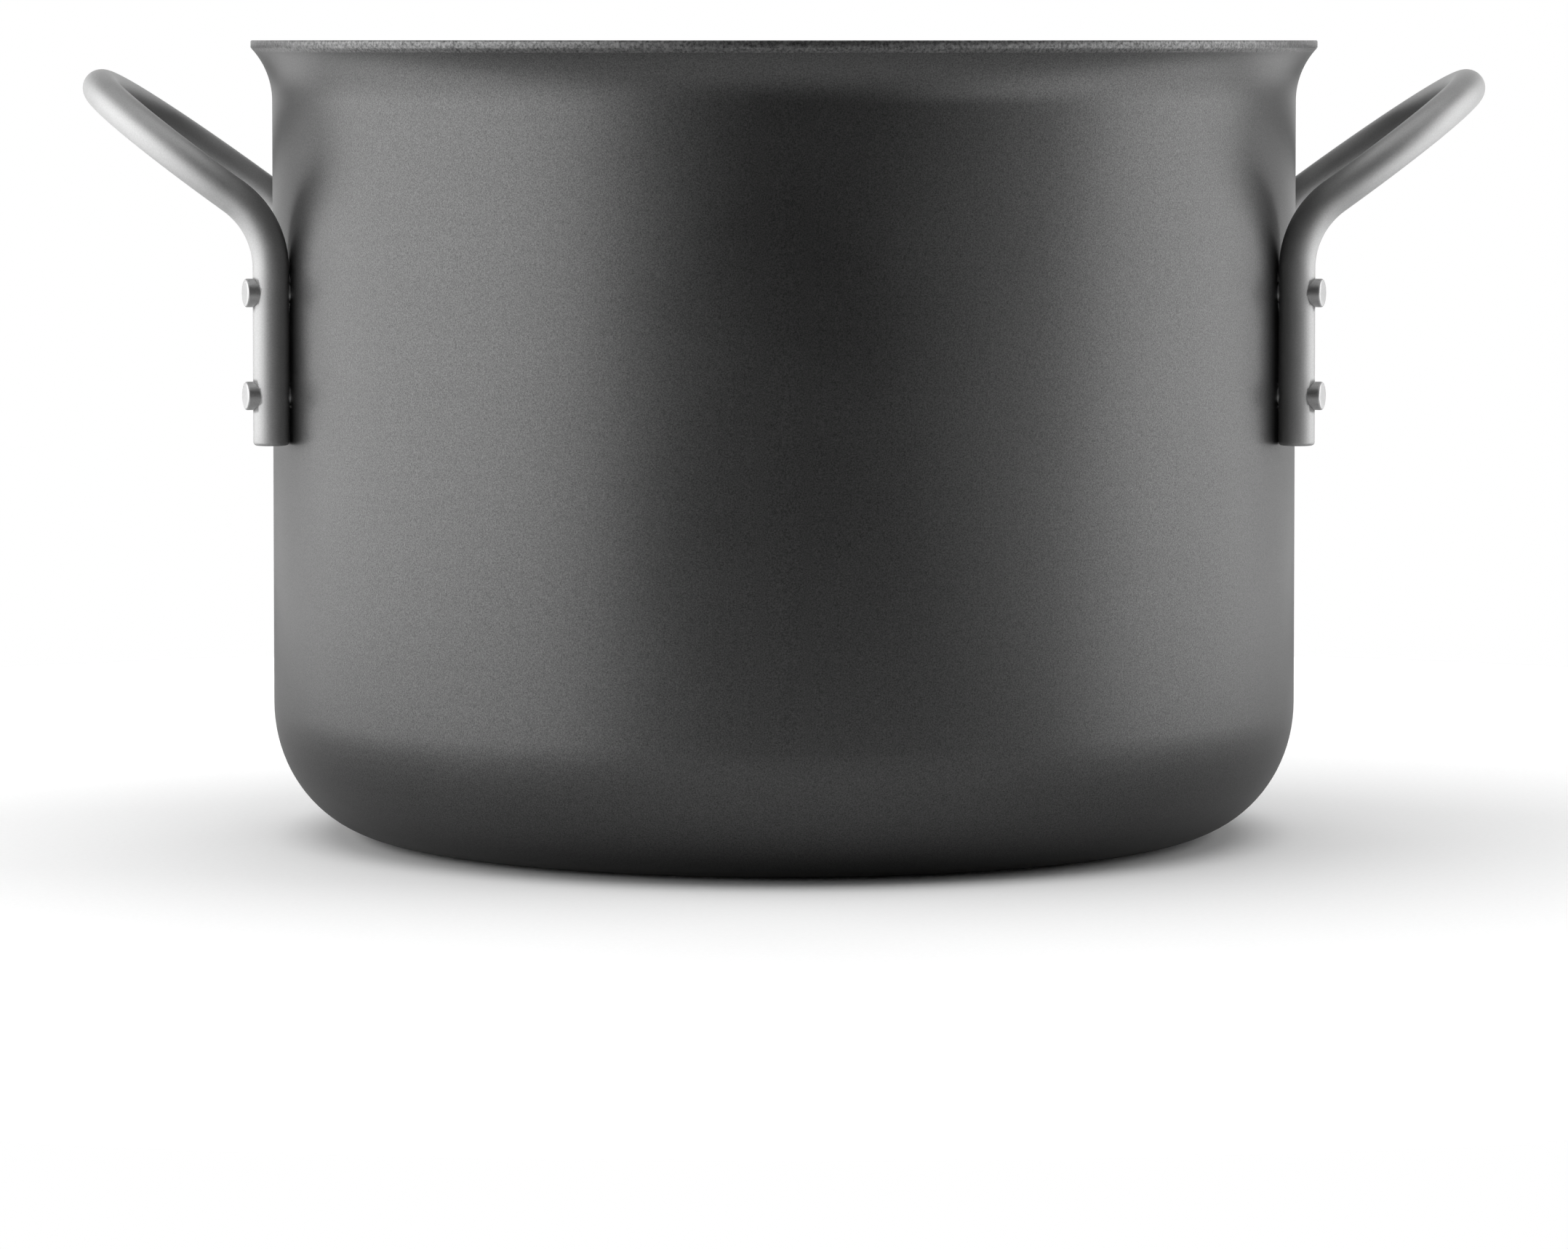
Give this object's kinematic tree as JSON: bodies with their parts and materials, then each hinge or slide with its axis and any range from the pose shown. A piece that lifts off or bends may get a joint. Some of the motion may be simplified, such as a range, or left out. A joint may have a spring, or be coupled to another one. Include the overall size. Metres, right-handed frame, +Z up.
{
  "type": "stock pot",
  "caption": "Deep round stock pot with a flared rim, a rounded bottom corner and a riveted bent-bar handle on each side.",
  "frame": {"origin": "middle of the flat base, on the surface the pot stands on", "axes": "+Z up; X runs from the left handle to the right handle; -Y is the front"},
  "size_m": [0.316, 0.24, 0.1786],
  "materials": {
    "anodised_body": "matt hard-anodised dark grey with an even fine grain",
    "handle_rod": "satin stainless steel bar",
    "rivet": "satin stainless steel"
  },
  "bodies": {
    "root": {"pot_body": "anodised_body", "handle_left": "handle_rod", "handle_right": "handle_rod", "rivet_left_front_upper": "rivet", "rivet_left_front_lower": "rivet", "rivet_left_rear_upper": "rivet", "rivet_left_rear_lower": "rivet", "rivet_right_front_upper": "rivet", "rivet_right_front_lower": "rivet", "rivet_right_rear_upper": "rivet", "rivet_right_rear_lower": "rivet"}
  },
  "joints": []
}
